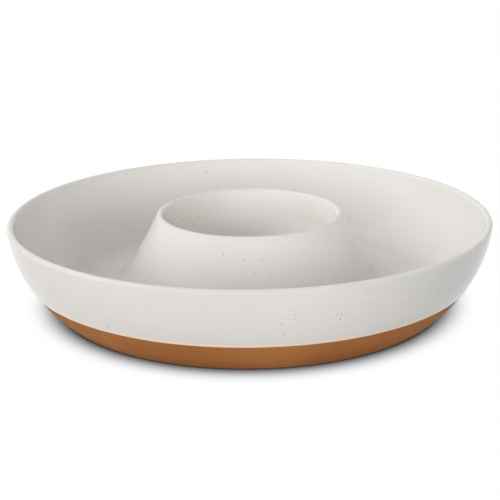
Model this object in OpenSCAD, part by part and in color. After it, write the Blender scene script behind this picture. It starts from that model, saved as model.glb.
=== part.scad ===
// Chip and dip server: a shallow round stoneware dish with a dip cup raised in its middle.
// The clay is one fired piece. A white glaze covers it all over, down to a line on the outer
// wall, and leaves the lowest band, the foot and the underside as bare clay.
// Units are millimetres. The origin is the centre of the foot, on the table, and +Z is up.

/* [Dish] */
// Diameter over the glazed rim of the dish
rim_d = 320; // [306:1:334]
// Height from the table to the top of the glazed rim
dish_h = 58.2; // [54:0.2:64]
// Diameter where the outer wall meets the table
foot_d = 260; // [250:1:270]
// Lean of the outer wall at the rim, away from upright
rim_lean = 6; // [3:0.5:10]
// Thickness of the clay at the rim of the dish
rim_t = 3.6; // [3:0.1:4.4]
// Radius of the wall's curve inside the dish
well_r = 66; // [60:1:74]
// Height of the trough's clay floor above the table
trough_floor = 9.6; // [8.8:0.1:12]
// Radius of the curve from the trough's floor up to the dish wall
trough_fillet = 22; // [16:1:28]

/* [Dip cup] */
// Diameter over the glazed rim of the cup
cup_d = 125; // [116:0.5:132]
// Height of the cup's rim below the dish rim
cup_drop = 0; // [-2:0.5:5]
// Thickness of the clay at the rim of the cup
cup_rim_t = 3.6; // [3:0.1:4.4]
// Slope of the cone outside the cup, measured from level
cone_slope = 62; // [59:0.5:67]
// Radius of the curve from the cone down to the trough's floor
cone_fillet = 18; // [12:1:24]
// Depth of the cup's clay floor below the top of its glazed rim
cup_depth = 29; // [25:0.5:33]
// Lean of the cup's inside wall, away from upright
cup_draft = 9; // [5:0.5:13]
// Radius of the curve round the bottom of the cup
cup_fillet = 14; // [10:1:20]

/* [Underside] */
// Thickness of the clay in the floor, the cone and the cup
body_t = 5; // [4.4:0.1:5.6]
// Width of the foot ring that the dish stands on
foot_w = 8; // [6:0.5:12]
// How much wider the foot ring gets on its inner side, from the table to the recess
foot_draft = 1; // [0.5:0.1:2]
// Radius of the foot ring's edges
foot_round = 1.2; // [0.8:0.1:1.6]
// Radius of the inner corner between the foot ring and the recess
foot_fillet = 2; // [1.4:0.1:2.4]
// Radius at the top of the hollow between the cup and the cone
hollow_r = 4; // [3:0.25:6]

/* [Glaze] */
// Thickness of the fired glaze
glaze_t = 0.4; // [0.3:0.05:0.6]
// Height of the glaze's edge on the outer wall
glaze_line = 21.2; // [16:0.2:28]

/* [Hidden] */
CLAY = "#9c6539";
GLAZE = "#e0dcd7";

$fn = 180;
ARC_TURN = 7.5;  // an arc has a point at least every so many degrees
ARC_SAG = 0.02;  // and so many that its chords stay this close to it

// ---- Outlines ----------------------------------------------------------------------------
// An outline is a belt round pulleys in the r-z half plane, with the clay on its left. A
// pulley is [r, z, radius]: the radius is positive where the clay is inside the circle, as on
// a rim, and negative where it is outside, as in a fillet. Growing the outline by g moves
// every face g outwards, so the coats of one surface share their centres.

function polar(r, a) = r * [cos(a), sin(a)];
function centre(p) = [p[0], p[1]];
function on_pulley(p, a, g) = centre(p) + polar(p[2] + g, a);
function wrap(a) = a - 360 * floor((a + 5) / 360);

// Direction of the outward normal on the straight run from pulley p to pulley q
function run_normal(p, q) =
    let (d = centre(q) - centre(p))
    atan2(d[1], d[0]) - acos(max(-1, min(1, (p[2] - q[2]) / norm(d))));

// The arcs of a belt as [pulley, first normal, last normal]
function arcs(belt, a_start, a_end) = [
    for (i = [0 : len(belt) - 1])
        let (
            last = len(belt) - 1,
            a_in = i == 0 ? a_start : run_normal(belt[i - 1], belt[i]),
            a_out = i == last ? a_end : run_normal(belt[i], belt[i + 1]),
            turn = belt[i][2] < 0 ? -wrap(a_in - a_out) : wrap(a_out - a_in)
        )
        [belt[i], a_in, a_in + turn]
];

function steps(arc) =
    let (sag_turn = 2 * acos(1 - ARC_SAG / max(ARC_SAG, abs(arc[0][2]))))
    max(1, ceil(abs(arc[2] - arc[1]) / min(ARC_TURN, sag_turn)));

function arc_points(arc, g) = [
    for (k = [0 : steps(arc)])
        on_pulley(arc[0], arc[1] + (arc[2] - arc[1]) * k / steps(arc), g)
];

// A closed outline without the points that two neighbours share
function spaced(points) = [
    for (i = [0 : len(points) - 1])
        if (norm(points[i] - points[(i + 1) % len(points)]) > 0.001) points[i]
];

function outline(run, g) = [for (arc = run) each arc_points(arc, g)];
function reversed(points) = [for (i = [len(points) - 1 : -1 : 0]) points[i]];

// ---- Profile of the clay -----------------------------------------------------------------
UP = 90;
DOWN = -90;

// Clay sizes under the glaze
rim_round = rim_t / 2;
rim_c = [rim_d / 2 - glaze_t - rim_round, dish_h - glaze_t - rim_round];
cup_round = cup_rim_t / 2;
cup_c = [cup_d / 2 - glaze_t - cup_round, dish_h - cup_drop - glaze_t - cup_round];
cup_floor = dish_h - cup_drop - cup_depth;
recess = trough_floor - body_t;

// The outer wall is one arc from the foot to the rim, which it meets at rim_lean
wall_foot = [foot_d / 2, 0];
wall_top = rim_c + polar(rim_round, -rim_lean);
wall_chord = wall_top - wall_foot;
wall_turn = 90 - rim_lean - atan2(wall_chord[1], wall_chord[0]);
wall_r = norm(wall_chord) / 2 / sin(wall_turn);
wall_c = wall_top - polar(wall_r, -rim_lean);

// A pulley of radius r inside the circle of radius big round c, resting on the height z
function inside(c, big, r, z, sign_r) =
    [c[0] + sqrt(pow(big - r, 2) - pow(z + r - c[1], 2)), z + r, sign_r * r];

// A pulley that touches the straight run of normal a and offset d, with its centre at height z
function along(a, d, radius, z) = [(d - radius - z * sin(a)) / cos(a), z, radius];

// Offset of a straight run: how far it lies from the origin, along its normal a
function offset_of(p, a) = centre(p) * polar(1, a) + p[2];

function pulley(c, radius) = [c[0], c[1], radius];

wall_p = pulley(wall_c, wall_r);
rim_p = pulley(rim_c, rim_round);
well_c = rim_c + polar(rim_round + well_r, 180 - rim_lean);
well_p = pulley(well_c, -well_r);
trough_p = inside(well_c, well_r, trough_fillet, trough_floor, -1);

cup_p = pulley(cup_c, cup_round);
cone_a = 90 - cone_slope;
cone_d = offset_of(cup_p, cone_a);
cone_p = along(cone_a, cone_d, -cone_fillet, trough_floor + cone_fillet);
bowl_a = 180 - cup_draft;
bowl_d = offset_of(cup_p, bowl_a);
bowl_p = along(bowl_a, bowl_d, -cup_fillet, cup_floor + cup_fillet);

// Glazed side, from the outer wall over the rim to the middle of the cup
face_belt = [wall_p, rim_p, well_p, trough_p, cone_p, cup_p, bowl_p, [0, cup_floor, 0]];

// Underside, from the middle of the cup to the outer edge of the foot. Where it runs under
// the glazed side, it keeps body_t away from it. The hollow ends in a round between the cone's
// and the cup's inner faces, whose normals are opposite to those of the glazed side.
function meet(a, da, b, db) =
    [da * sin(b) - db * sin(a), db * cos(a) - da * cos(b)] / sin(b - a);
hollow_c = meet(
    cone_a, cone_d - body_t - hollow_r,
    bowl_a, bowl_d - body_t - hollow_r
);
foot_in = foot_d / 2 - foot_w;
base_belt = [
    [0, cup_floor - body_t, 0],
    pulley(bowl_p, cup_fillet + body_t),
    pulley(hollow_c, -hollow_r),
    pulley(cone_p, cone_fillet + body_t),
    [foot_in - foot_draft - foot_fillet, recess - foot_fillet, -foot_fillet],
    [foot_in + foot_round, foot_round, foot_round],
    inside(wall_c, wall_r, foot_round, 0, 1),
];

// The glaze starts on the outer wall at glaze_line
glaze_a = asin((glaze_line - wall_c[1]) / wall_r);
bare_run = arcs(concat(base_belt, [wall_p]), DOWN, glaze_a);
glazed_run = arcs(face_belt, glaze_a, UP);

// The glaze's lower edge is a round bead, as fired glaze ends
bead_p = pulley(on_pulley(wall_p, glaze_a, glaze_t / 2), glaze_t / 2);
bead = [bead_p, glaze_a - 180, glaze_a];

// ---- Sub-parts ---------------------------------------------------------------------------
// Fired stoneware: dish wall, trough, cone, dip cup and foot ring, pressed as one piece
module clay_body() {
    color(CLAY) rotate_extrude() polygon(spaced(outline(concat(bare_run, glazed_run), 0)));
}

// One coat of speckled white glaze, from the line on the outer wall to the bottom of the cup
module glaze_coat() {
    top_face = concat(arc_points(bead, 0), outline(glazed_run, glaze_t));
    clay_face = reversed(outline(glazed_run, 0));
    color(GLAZE) rotate_extrude() polygon(spaced(concat(top_face, clay_face)));
}

clay_body();
glaze_coat();
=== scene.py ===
import math
import bpy
from mathutils import Matrix, Vector


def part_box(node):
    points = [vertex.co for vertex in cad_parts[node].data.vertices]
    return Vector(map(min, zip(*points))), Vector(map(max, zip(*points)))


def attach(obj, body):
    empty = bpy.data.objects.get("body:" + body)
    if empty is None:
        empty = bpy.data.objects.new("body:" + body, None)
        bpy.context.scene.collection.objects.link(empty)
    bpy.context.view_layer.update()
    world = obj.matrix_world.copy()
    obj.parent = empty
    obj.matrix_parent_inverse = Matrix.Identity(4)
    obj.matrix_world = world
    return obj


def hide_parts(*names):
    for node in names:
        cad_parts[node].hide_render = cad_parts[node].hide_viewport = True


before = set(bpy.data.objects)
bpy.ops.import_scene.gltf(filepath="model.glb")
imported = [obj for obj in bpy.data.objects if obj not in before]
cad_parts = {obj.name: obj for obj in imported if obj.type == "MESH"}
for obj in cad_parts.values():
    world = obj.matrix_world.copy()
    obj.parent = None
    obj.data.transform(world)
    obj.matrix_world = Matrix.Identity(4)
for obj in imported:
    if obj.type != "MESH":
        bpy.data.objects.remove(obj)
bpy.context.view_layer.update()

# ---- Clay body ----------------------------------------------------------------------------
# One piece of terracotta-coloured stoneware: dish wall, trough, cone, dip cup and foot ring.
# It is pressed in a plaster mould, its edges are fettled on a wheel, and it stays unglazed
# below the line on its outer wall and on its whole underside. Sizes are in metres.

glaze_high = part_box("glaze_coat")[1]
clay_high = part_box("clay_body")[1]

rim_radius = clay_high.x
dish_top = clay_high.z
foot_radius = 0.130
rim_lean = math.radians(6)
lip_round = 0.0018
well_radius = 0.066
trough_floor = 0.0096
trough_fillet = 0.022
cup_lip_radius = 0.0603
cone_slope = math.radians(62)
cone_fillet = 0.018
cup_floor = 0.0292
cup_draft = math.radians(9)
cup_fillet = 0.014
body_wall = 0.005
foot_width = 0.008
foot_draft = 0.001
foot_round = 0.0012
foot_fillet = 0.002
hollow_round = 0.004
glaze_line = 0.0212

LATHE_STEPS = 256
SAME_PLACE, NO_TURN = 1e-6, 1e-4


def polar(radius, angle):
    """The point at this radius and this angle."""
    return Vector((radius * math.cos(angle), radius * math.sin(angle)))


def touching(first, second):
    """Angle of the outward normal on the straight stretch between two rounds (r, z, radius)."""
    run = Vector(second[:2]) - Vector(first[:2])
    share = (first[2] - second[2]) / run.length
    return math.atan2(run.y, run.x) - math.acos(max(-1.0, min(1.0, share)))


def turning(rounds, start, end):
    """The outline's arcs round its rounds, as (r, z, radius, first angle, turn). A positive
    radius is a round edge of the piece, a negative one is a hollow corner."""
    arcs = []
    slack = math.radians(5)
    for i, this in enumerate(rounds):
        enter = start if i == 0 else touching(rounds[i - 1], this)
        leave = end if i == len(rounds) - 1 else touching(this, rounds[i + 1])
        way = -1 if this[2] < 0 else 1
        turn = way * ((way * (leave - enter) + slack) % math.tau - slack)
        arcs.append((*this, enter, turn))
    return arcs


def draw(arcs, degrees_a_step, pen=None):
    """Draws arcs in the x-z plane from the vertex that is selected, with straight stretches
    between them, and says where it stopped."""
    for r, z, radius, enter, turn in arcs:
        touch = Vector((r, z)) + polar(radius, enter)
        if pen is None:
            bpy.ops.transform.translate(value=(touch.x, 0, touch.y))
        elif (touch - pen).length > SAME_PLACE:
            move = touch - pen
            bpy.ops.mesh.extrude_region_move(
                TRANSFORM_OT_translate={"value": (move.x, 0, move.y)})
        pen = touch
        if abs(radius) > SAME_PLACE and abs(turn) > NO_TURN:
            bpy.ops.mesh.spin(
                steps=max(2, math.ceil(abs(math.degrees(turn)) / degrees_a_step)),
                angle=turn, center=(r, 0, z), axis=(0, 1, 0))
            pen = Vector((r, z)) + polar(radius, enter + turn)
    return pen


def start_outline(name):
    """A new mesh of one vertex at the origin, selected and in edit mode."""
    bpy.ops.object.select_all(action="DESELECT")
    bpy.ops.mesh.primitive_plane_add(size=0.01)
    piece = bpy.context.object
    piece.name = piece.data.name = name
    bpy.ops.object.mode_set(mode="EDIT")
    bpy.ops.mesh.merge(type="CENTER")
    return piece


def turn_outline():
    """Spins the outline round the piece's axis and closes its seam and its poles."""
    bpy.ops.mesh.select_all(action="SELECT")
    bpy.ops.mesh.spin(steps=LATHE_STEPS, angle=math.tau, center=(0, 0, 0), axis=(0, 0, 1))
    bpy.ops.mesh.select_all(action="SELECT")
    bpy.ops.mesh.remove_doubles(threshold=SAME_PLACE)
    bpy.ops.mesh.normals_make_consistent(inside=False)
    bpy.ops.object.mode_set(mode="OBJECT")
    bpy.ops.object.shade_smooth()
    bpy.ops.object.modifier_add(type="WEIGHTED_NORMAL")
    bpy.ops.object.modifier_apply(modifier="WeightedNormal")


# The outer wall is one arc from the foot to the lip, and the well is one arc inside it
lip = (rim_radius - lip_round, dish_top - lip_round, lip_round)
wall_top = Vector(lip[:2]) + polar(lip_round, -rim_lean)
wall_chord = wall_top - Vector((foot_radius, 0))
wall_turn = math.pi / 2 - rim_lean - math.atan2(wall_chord.y, wall_chord.x)
wall_radius = wall_chord.length / 2 / math.sin(wall_turn)
wall_centre = wall_top - polar(wall_radius, -rim_lean)
well_centre = Vector(lip[:2]) + polar(lip_round + well_radius, math.pi - rim_lean)


def resting_in(centre, big, radius, z):
    """The round of this radius that rests on height z inside the big circle."""
    return centre.x + math.sqrt((big - radius) ** 2 - (z + radius - centre.y) ** 2), z + radius


wall = (*wall_centre, wall_radius)
well = (*well_centre, -well_radius)
trough = (*resting_in(well_centre, well_radius, trough_fillet, trough_floor), -trough_fillet)
cup_lip = (cup_lip_radius, lip[1], lip_round)

# The cone and the cup's wall are straight, and each is set by its normal and its offset
cone_normal = math.pi / 2 - cone_slope
cup_normal = math.pi - cup_draft
cone_offset = Vector(cup_lip[:2]).dot(polar(1, cone_normal)) + lip_round
cup_offset = Vector(cup_lip[:2]).dot(polar(1, cup_normal)) + lip_round


def on_line(normal, offset, radius, z):
    """The round that touches the straight wall and has its centre at height z."""
    return (offset - radius - z * math.sin(normal)) / math.cos(normal), z, radius


cone_foot = on_line(cone_normal, cone_offset, -cone_fillet, trough_floor + cone_fillet)
cup_corner = on_line(cup_normal, cup_offset, -cup_fillet, cup_floor + cup_fillet)

# The hollow underneath keeps one wall's thickness from the cone and from the cup
inner = body_wall + hollow_round
cone_back = cone_offset - inner
cup_back = cup_offset - inner
spread = math.sin(cup_normal - cone_normal)
hollow = (
    (cone_back * math.sin(cup_normal) - cup_back * math.sin(cone_normal)) / spread,
    (cup_back * math.cos(cone_normal) - cone_back * math.cos(cup_normal)) / spread,
    -hollow_round)
foot_inside = foot_radius - foot_width
recess = trough_floor - body_wall

underside = [
    (0, cup_floor - body_wall, 0),
    (cup_corner[0], cup_corner[1], cup_fillet + body_wall),
    hollow,
    (cone_foot[0], cone_foot[1], cone_fillet + body_wall),
    (foot_inside - foot_draft - foot_fillet, recess - foot_fillet, -foot_fillet),
    (foot_inside + foot_round, foot_round, foot_round),
    (*resting_in(wall_centre, wall_radius, foot_round, 0), foot_round),
]
glazed_face = [wall, lip, well, trough, cone_foot, cup_lip, cup_corner, (0, cup_floor, 0)]

line_angle = math.asin((glaze_line - wall_centre.y) / wall_radius)
UP, DOWN = math.pi / 2, -math.pi / 2

bare_arcs = turning(underside + [wall], DOWN, line_angle)
glazed_arcs = turning(glazed_face, line_angle, UP)

BARE_STEP, COVERED_STEP = 4, 6

clay = start_outline("server_clay")
pen = draw(bare_arcs, BARE_STEP)
draw(glazed_arcs, COVERED_STEP, pen)
turn_outline()


def add_node(tree, kind, inputs, **settings):
    """A node with its settings, and with a value or a link for each input named."""
    node = tree.nodes.new(kind)
    for setting, value in settings.items():
        setattr(node, setting, value)
    for socket, value in inputs.items():
        if isinstance(value, bpy.types.NodeSocket):
            tree.links.new(value, node.inputs[socket])
        else:
            node.inputs[socket].default_value = value
    return node


def start_finish(name):
    """A new material with its node tree, its shader and the piece's own coordinates."""
    finish = bpy.data.materials.new(name)
    finish.use_nodes = True
    tree = finish.node_tree
    shader = tree.nodes["Principled BSDF"]
    place = add_node(tree, "ShaderNodeTexCoord", {}).outputs["Object"]
    return finish, tree, shader, place


def noise(tree, place, scale, detail=2.0, roughness=0.5, stretch=None):
    """Noise of so many waves a metre, stretched by a factor along each axis."""
    if stretch:
        place = add_node(tree, "ShaderNodeMapping", {"Vector": place, "Scale": stretch}).outputs[0]
    return add_node(tree, "ShaderNodeTexNoise", {
        "Vector": place, "Scale": scale, "Detail": detail, "Roughness": roughness}).outputs["Fac"]


def spread_to(tree, value, low, high, to_low=0.0, to_high=1.0, smooth=True):
    """Maps low..high of a value to another range and holds it there."""
    return add_node(tree, "ShaderNodeMapRange", {
        "Value": value, "From Min": low, "From Max": high, "To Min": to_low, "To Max": to_high},
        interpolation_type="SMOOTHSTEP" if smooth else "LINEAR").outputs["Result"]


def blend_colour(tree, share, under, over):
    """One colour laid over another by a share of 0 to 1."""
    mix = add_node(tree, "ShaderNodeMix", {"Factor": share}, data_type="RGBA")
    for socket, colour in (("A", under), ("B", over)):
        target = next(s for s in mix.inputs if s.name == socket and s.type == "RGBA")
        if isinstance(colour, bpy.types.NodeSocket):
            tree.links.new(colour, target)
        else:
            target.default_value = (*colour, 1)
    return next(s for s in mix.outputs if s.type == "RGBA")


def combine(tree, first, second, operation="ADD"):
    """Two values put together by a sum or by another operation."""
    node = tree.nodes.new("ShaderNodeMath")
    node.operation = operation
    for socket, value in zip(node.inputs, (first, second)):
        if isinstance(value, bpy.types.NodeSocket):
            tree.links.new(value, socket)
        else:
            socket.default_value = value
    return node.outputs[0]


def grains(tree, place, a_metre, size, edge):
    """1 inside scattered round grains: cells to a metre, radius in metres, soft share of it."""
    cells = add_node(tree, "ShaderNodeTexVoronoi", {"Vector": place, "Scale": a_metre})
    reach = size * a_metre
    return spread_to(tree, cells.outputs["Distance"], reach * (1 - edge), reach, 1, 0)


def across_and_up(tree, place):
    """How far a point lies from the piece's axis, and how high."""
    along = add_node(tree, "ShaderNodeSeparateXYZ", {"Vector": place}).outputs
    level = add_node(tree, "ShaderNodeCombineXYZ", {"X": along["X"], "Y": along["Y"]}).outputs[0]
    across = add_node(tree, "ShaderNodeVectorMath", {0: level}, operation="LENGTH")
    return across.outputs["Value"], along["Z"]


clay_finish, tree, shader, place = start_finish("bare_stoneware")
reach, height = across_and_up(tree, place)
firing = spread_to(tree, noise(tree, place, 14, 4), 0.35, 0.65)
fettling = noise(tree, place, 1, 3, 0.6, stretch=(9, 9, 900))
grog = grains(tree, place, 420, 0.00032, 0.5)
iron = grains(tree, place, 260, 0.00030, 0.4)
outside = spread_to(tree, reach, foot_radius - foot_width / 2, foot_radius)


def below_line(far, near):
    """1 on the outer wall from so far below the glaze line upwards."""
    return combine(tree, outside, spread_to(
        tree, height, glaze_line - far, glaze_line - near), "MULTIPLY")


CLAY_PALE, CLAY_DEEP = (0.440, 0.176, 0.051), (0.362, 0.134, 0.035)
GROG_PALE, IRON_DARK = (0.46, 0.235, 0.10), (0.13, 0.052, 0.022)
UNDER_BEAD_SHADE, THIN_FILM_AND_HIGHLIGHT = (0.20, 0.105, 0.060), (0.80, 0.65, 0.50)

colour = blend_colour(tree, firing, CLAY_DEEP, CLAY_PALE)
for share, over in (
        (spread_to(tree, fettling, 0.40, 0.66, 0, 0.35), CLAY_PALE),
        (combine(tree, grog, 0.35, "MULTIPLY"), GROG_PALE),
        (combine(tree, iron, 0.5, "MULTIPLY"), IRON_DARK),
        # Painted shade: the clay just below the glaze bead is darkened, as if the bead shaded it
        (combine(tree, below_line(0.0018, 0.0010), 0.30, "MULTIPLY"), UNDER_BEAD_SHADE),
        # The glaze's thin cream edge over the clay: partly its real warm colour, partly a painted
        # highlight where the bead catches light
        (below_line(0.0009, 0.0007), THIN_FILM_AND_HIGHLIGHT)):
    colour = blend_colour(tree, share, colour, over)
tree.links.new(colour, shader.inputs["Base Color"])
roughness = spread_to(tree, noise(tree, place, 120, 3), 0.3, 0.7, 0.62, 0.76)
tree.links.new(roughness, shader.inputs["Roughness"])
shader.inputs["Specular IOR Level"].default_value = 0.2
lines = combine(tree, fettling, 0.8, "MULTIPLY")
skin = combine(tree, noise(tree, place, 700, 4, 0.65), lines)
bump = add_node(tree, "ShaderNodeBump", {"Height": skin, "Distance": 0.00006, "Strength": 0.6})
tree.links.new(bump.outputs[0], shader.inputs["Normal"])
clay.data.materials.append(clay_finish)

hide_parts("clay_body")
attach(clay, "root")

# ---- Glaze --------------------------------------------------------------------------------
# One coat of white speckled gloss glaze, 0.4 mm thick when fired, from the line on the outer
# wall over the rim, through the trough, up the cone and down into the cup. The piece is dipped,
# and the band below the line is wiped clean, so the coat ends in a small round bead.

glaze_coat = glaze_high.z - clay_high.z

TOP_STEP, BEAD_STEP, UNDER_STEP = 3, 20, 8

bead_centre = Vector(wall[:2]) + polar(wall_radius + glaze_coat / 2, line_angle)
bead = (*bead_centre, glaze_coat / 2, line_angle, -math.pi)
top_arcs = [
    (r, z, radius + glaze_coat, enter + turn, -turn)
    for r, z, radius, enter, turn in reversed(glazed_arcs)]

glaze = start_outline("server_glaze")
pen = draw(top_arcs, TOP_STEP)
pen = draw([bead], BEAD_STEP, pen)
draw(glazed_arcs, UNDER_STEP, pen)
turn_outline()

glaze_finish, tree, shader, place = start_finish("speckled_glaze")
GLAZE_WHITE, GLAZE_WARM = (0.768, 0.748, 0.723), (0.735, 0.706, 0.668)
FAINT_SPECK, BROWN_SPECK, DARK_SPECK = (0.44, 0.40, 0.34), (0.26, 0.21, 0.16), (0.085, 0.065, 0.05)
CREAM_AND_HIGHLIGHT = (0.90, 0.735, 0.58)

# The specks are iron grains that have melted a little, so they are uneven and come in drifts
MELT_SHIFT = 0.0009
melt = add_node(tree, "ShaderNodeTexNoise", {"Vector": place, "Scale": 900.0, "Detail": 2.0})
shift = add_node(tree, "ShaderNodeVectorMath", {0: melt.outputs["Color"], 1: (-0.5, -0.5, -0.5)})
shift = add_node(tree, "ShaderNodeVectorMath", {
    0: shift.outputs[0], "Scale": MELT_SHIFT}, operation="SCALE")
uneven = add_node(tree, "ShaderNodeVectorMath", {0: place, 1: shift.outputs[0]}).outputs[0]
drifting = add_node(tree, "ShaderNodeMapping", {"Vector": place, "Location": (1.04, 0.07, 0.15)})
drift = noise(tree, drifting.outputs[0], 28, 2)
fine = grains(tree, uneven, 420, 0.00040, 0.6)
faint = grains(tree, uneven, 250, 0.00042, 0.6)
brown = grains(tree, uneven, 150, 0.00058, 0.5)
dark = grains(tree, uneven, 75, 0.00060, 0.45)
faint = combine(tree, faint, spread_to(tree, drift, 0.42, 0.62, 0.10, 0.65), "MULTIPLY")
brown = combine(tree, brown, spread_to(tree, drift, 0.47, 0.64, 0.03, 0.95), "MULTIPLY")
dark = combine(tree, dark, 0.85, "MULTIPLY")

# The outer wall is the surface that lies a full radius from the centre of the wall's arc
reach, height = across_and_up(tree, place)
out_from_centre = add_node(tree, "ShaderNodeVectorMath", {
    0: add_node(tree, "ShaderNodeCombineXYZ", {
        "X": combine(tree, reach, wall_centre.x, "SUBTRACT"),
        "Z": combine(tree, height, wall_centre.y, "SUBTRACT")}).outputs[0]},
    operation="LENGTH").outputs["Value"]
outer_wall = spread_to(tree, out_from_centre, wall_radius - 0.0035, wall_radius - 0.0015)
fine = combine(tree, fine, outer_wall, "MULTIPLY")
fine = combine(tree, fine, spread_to(tree, drift, 0.40, 0.64, 0.15, 1.0), "MULTIPLY")

# The glaze ends thin, so the clay warms it there, and this cream edge is also made lighter as a
# painted highlight where the bead catches light
ragged = combine(tree, height, combine(tree, noise(tree, place, 60, 3), 0.0007, "MULTIPLY"))
low = spread_to(tree, ragged, glaze_line + 0.0013, glaze_line + 0.0023, 1, 0)
thin_edge_and_highlight = combine(tree, low, outer_wall, "MULTIPLY")

clouds = spread_to(tree, noise(tree, place, 9, 3), 0.35, 0.65)
colour = blend_colour(tree, clouds, GLAZE_WARM, GLAZE_WHITE)
for share, over in (
        (fine, FAINT_SPECK), (faint, FAINT_SPECK), (brown, BROWN_SPECK), (dark, DARK_SPECK),
        (thin_edge_and_highlight, CREAM_AND_HIGHLIGHT)):
    colour = blend_colour(tree, share, colour, over)
tree.links.new(colour, shader.inputs["Base Color"])
roughness = spread_to(tree, noise(tree, place, 35, 3), 0.3, 0.7, 0.09, 0.17)
tree.links.new(roughness, shader.inputs["Roughness"])
ripple = combine(tree, noise(tree, place, 260, 2), 0.12, "MULTIPLY")
skin = combine(tree, noise(tree, place, 45, 2), ripple)
bump = add_node(tree, "ShaderNodeBump", {"Height": skin, "Distance": 0.00012, "Strength": 0.5})
tree.links.new(bump.outputs[0], shader.inputs["Normal"])
glaze.data.materials.append(glaze_finish)

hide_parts("glaze_coat")
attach(glaze, "root")

# ---- Table --------------------------------------------------------------------------------
# A white sheet that the server stands on. It looks plain white straight on and in the gloss, darkened
# by a painted contact shadow only where the server stands over it.
# To its left and right its colour is darkened with painted shade, so it throws less light up.

SHEET_WIDTH = 6
SHADOW_REACH = 0.3
SHEET_TONE = 0.60
WHITE = (1, 1, 1, 1)

bpy.ops.object.select_all(action="DESELECT")
bpy.ops.mesh.primitive_plane_add(size=SHEET_WIDTH)
table = bpy.context.object
table.name = "table"
sheet = bpy.data.materials.new("white_sheet")
sheet.use_nodes = True
tree = sheet.node_tree
tree.nodes.clear()


def seen_in_view(tree):
    """1 for what the camera sees, straight on, mirrored in gloss or through glass."""
    path = add_node(tree, "ShaderNodeLightPath", {}).outputs
    seen = combine(tree, path["Is Camera Ray"], path["Is Glossy Ray"], "MAXIMUM")
    return combine(tree, seen, path["Is Transmission Ray"], "MAXIMUM")


open_sky = add_node(
    tree, "ShaderNodeAmbientOcclusion", {"Distance": SHADOW_REACH}, samples=48).outputs["AO"]
# Painted contact shadow: ambient occlusion darkens the white that the sheet shows where the server
# stands over it
contact_shadow = spread_to(tree, open_sky, 0.115, 0.475)
spot = add_node(tree, "ShaderNodeTexCoord", {}).outputs["Object"]
aside = add_node(tree, "ShaderNodeSeparateXYZ", {"Vector": spot}).outputs["X"]
# Painted shade: the sheet's own colour is made darker to the left and right of the server
on_right = spread_to(tree, aside, 0.08, 0.20, 1.0, 0.12)
on_left = spread_to(tree, aside, -0.28, -0.17, 0.35, 1.0)
shade = combine(tree, on_right, on_left, "MULTIPLY")
tone = combine(tree, shade, SHEET_TONE, "MULTIPLY")
paper = add_node(tree, "ShaderNodeBsdfDiffuse", {"Color": tone})
white = add_node(tree, "ShaderNodeEmission", {"Color": WHITE, "Strength": contact_shadow})
both = add_node(tree, "ShaderNodeMixShader", {
    0: seen_in_view(tree), 1: paper.outputs[0], 2: white.outputs[0]})
add_node(tree, "ShaderNodeOutputMaterial", {"Surface": both.outputs[0]})
table.data.materials.append(sheet)

# ---- Light --------------------------------------------------------------------------------
# Soft boxes all round, strong and low in front and weak behind, and a white backdrop that the
# camera sees and the gloss mirrors. Each box is a soft round patch of the room, given as
# degrees to the right of the camera, degrees up, spread and strength.

SOFT_BOXES = {
    "front_low": (0, 2, 14, 3.8),
    "front": (0, 14, 14, 2.65),
    "front_right_low": (25, 10, 6, 1.3),
    "front_right": (40, 14, 14, 2.6),
    "front_right_far": (50, 12, 9, 1.65),
    "right": (70, 14, 18, 0.9),
    "front_left_low": (335, 7, 7, 2.0),
    "front_left": (320, 14, 14, 2.55),
    "front_above": (340, 24, 22, 1.8),
    "left": (275, 20, 22, 0.9),
    "left_above": (260, 45, 20, 0.45),
    "back_left": (240, 30, 32, 2.2),
    "back": (200, 40, 30, 0.45),
    "back_above": (180, 60, 16, 0.8),
    "back_right_above": (120, 25, 16, 1.1),
    "back_right": (140, 12, 22, 1.1),
}

world = bpy.data.worlds.new("room")
bpy.context.scene.world = world
world.use_nodes = True
tree = world.node_tree
tree.nodes.clear()
way = add_node(tree, "ShaderNodeTexCoord", {}).outputs["Generated"]


def soft_patches(boxes):
    """The strength of the world in each direction, from soft round patches."""
    level = 0.0
    for aside, up, spread, strength in boxes.values():
        aside, up = math.radians(aside), math.radians(up)
        tightness = 1 / (1 - math.cos(math.radians(spread)))
        towards = math.cos(up) * math.sin(aside), -math.cos(up) * math.cos(aside), math.sin(up)
        facing = add_node(tree, "ShaderNodeVectorMath", {0: way, 1: towards}, operation="DOT_PRODUCT")
        off_centre = combine(tree, facing.outputs["Value"], 1.0, "SUBTRACT")
        falloff = combine(tree, off_centre, tightness, "MULTIPLY")
        patch = combine(tree, combine(tree, falloff, 0.0, "EXPONENT"), strength, "MULTIPLY")
        level = combine(tree, level, patch)
    return level


room = add_node(tree, "ShaderNodeBackground", {
    "Color": WHITE, "Strength": soft_patches(SOFT_BOXES)})
backdrop = add_node(tree, "ShaderNodeBackground", {"Color": WHITE, "Strength": 1.0})
both = add_node(tree, "ShaderNodeMixShader", {
    0: seen_in_view(tree), 1: room.outputs[0], 2: backdrop.outputs[0]})
add_node(tree, "ShaderNodeOutputWorld", {"Surface": both.outputs[0]})

# ---- Camera -------------------------------------------------------------------------------
# Held above the server's rim, looking down into it, and rolled by about half a degree

CAMERA_AT = Vector((0, -0.704, 0.2534))
LOOKING_DOWN = math.radians(17.57)
ROLLED = math.radians(-0.57)
SENSOR_WIDTH, LENS = 36, 78.16

bpy.ops.object.camera_add(location=CAMERA_AT)
camera = bpy.context.object
camera.name = "camera"
camera.data.sensor_width = SENSOR_WIDTH
camera.data.lens = LENS
camera.matrix_world = (
    Matrix.Translation(CAMERA_AT)
    @ Matrix.Rotation(math.pi / 2 - LOOKING_DOWN, 4, "X")
    @ Matrix.Rotation(ROLLED, 4, "Z"))
bpy.context.scene.camera = camera
bpy.context.scene.view_settings.view_transform = "Standard"
